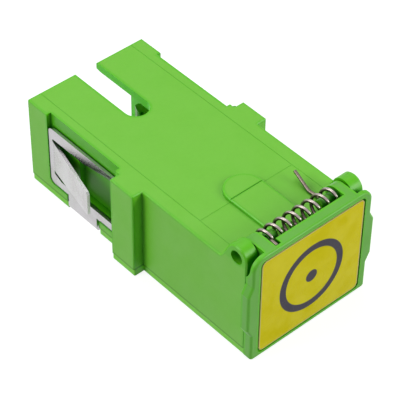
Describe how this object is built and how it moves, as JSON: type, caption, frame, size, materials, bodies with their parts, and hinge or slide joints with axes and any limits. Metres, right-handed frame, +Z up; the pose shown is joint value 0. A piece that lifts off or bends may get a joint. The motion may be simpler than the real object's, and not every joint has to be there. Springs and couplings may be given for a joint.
{
  "type": "fibre adapter",
  "caption": "Fibre optic through adapter with a square plug port at each end, a collar, a folded steel panel clip and a spring-shut dust door.",
  "frame": {"origin": "on the optical axis, in the middle of the split sleeve's bore and of the collar's thickness", "axes": "+Y along the optical axis out of the open rear port, +Z up towards the key slots and the door's hinge, +X to the right seen from the door"},
  "size_m": [0.0164, 0.0289, 0.0117],
  "materials": {
    "housing_green": "satin moulded",
    "door_green": "satin moulded",
    "label_card": "matt printed film",
    "spring_steel": "bright drawn wire",
    "clip_steel": "bright rolled sheet",
    "sleeve_ceramic": "ground white zirconia",
    "holder_plastic": "satin moulded"
  },
  "bodies": {
    "body": {"housing": "housing_green", "panel_clip": "clip_steel", "split_sleeve": "sleeve_ceramic", "front_sleeve_holder": "holder_plastic", "rear_sleeve_holder": "holder_plastic", "door_spring": "spring_steel"},
    "door": {"door": "door_green", "door_label": "label_card"}
  },
  "joints": [
    {"name": "door_hinge", "type": "hinge", "parent": "body", "child": "door", "pos_m": [0, -0.01293, 0.00581], "axis": [-1, 0, 0], "range_deg": [0, 105], "stiffness_Nm_per_rad": 0.0013, "springref_deg": -57.3, "deforming": ["door_spring"]}
  ]
}
